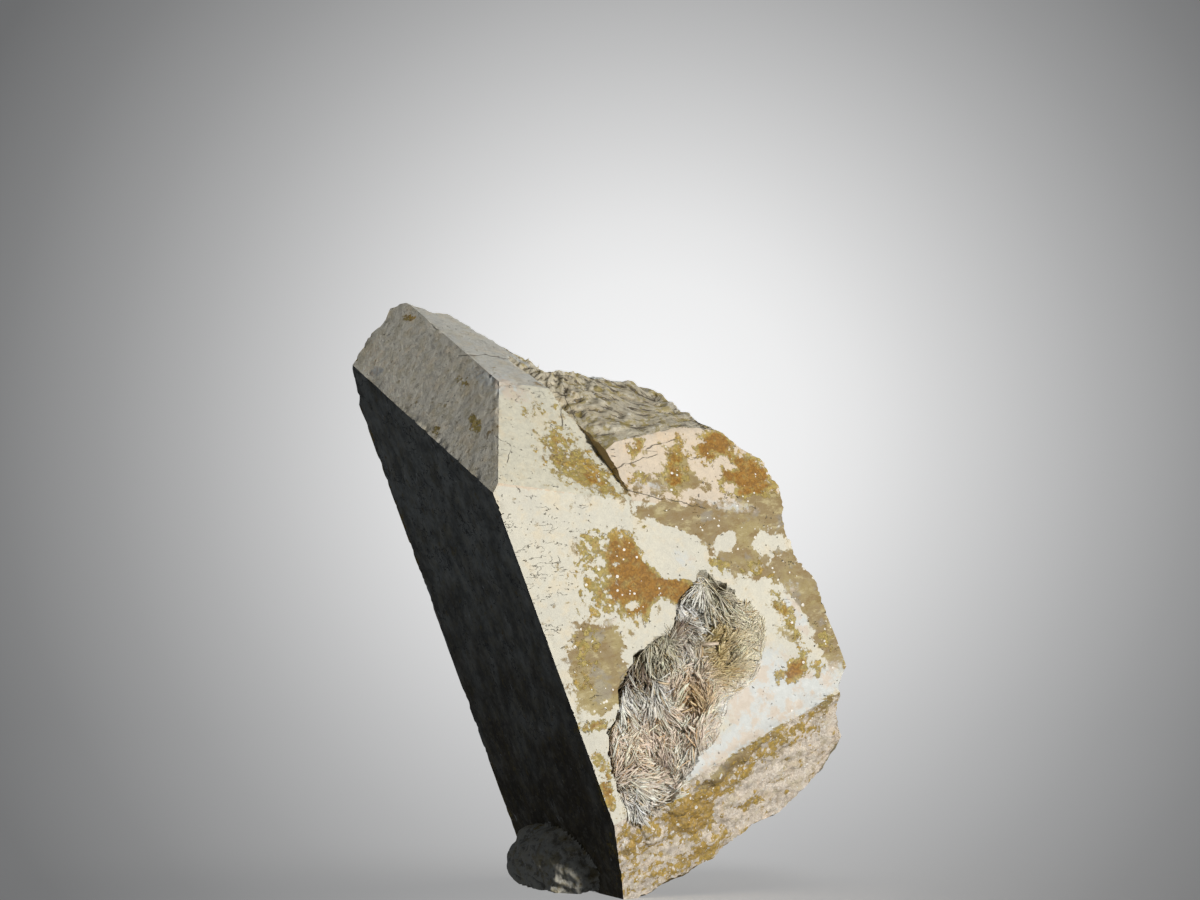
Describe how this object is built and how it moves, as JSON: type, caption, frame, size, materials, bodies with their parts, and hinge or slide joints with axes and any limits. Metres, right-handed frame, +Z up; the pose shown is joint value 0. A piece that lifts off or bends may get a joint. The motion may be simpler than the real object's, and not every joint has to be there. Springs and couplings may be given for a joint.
{
  "type": "orthoclase crystal",
  "caption": "Leaning flat-faced orthoclase crystal with a stepped broken top and a hollow lined with small blades, cut flat at its foot.",
  "frame": {"origin": "centre of the crystal's bounding box in plan, at the flat cut foot", "axes": "+Z up, along the greatest height; +X to the right and +Y to the back as the broad bladed face is seen from the front"},
  "size_m": [0.0772, 0.0562, 0.0918],
  "materials": {
    "cream_feldspar": "satin cream feldspar with ochre stains",
    "bladed_crust": "glassy grey to tan blades"
  },
  "bodies": {
    "root": {"orthoclase_crystal": "cream_feldspar", "blade_crust": "bladed_crust"}
  },
  "joints": []
}
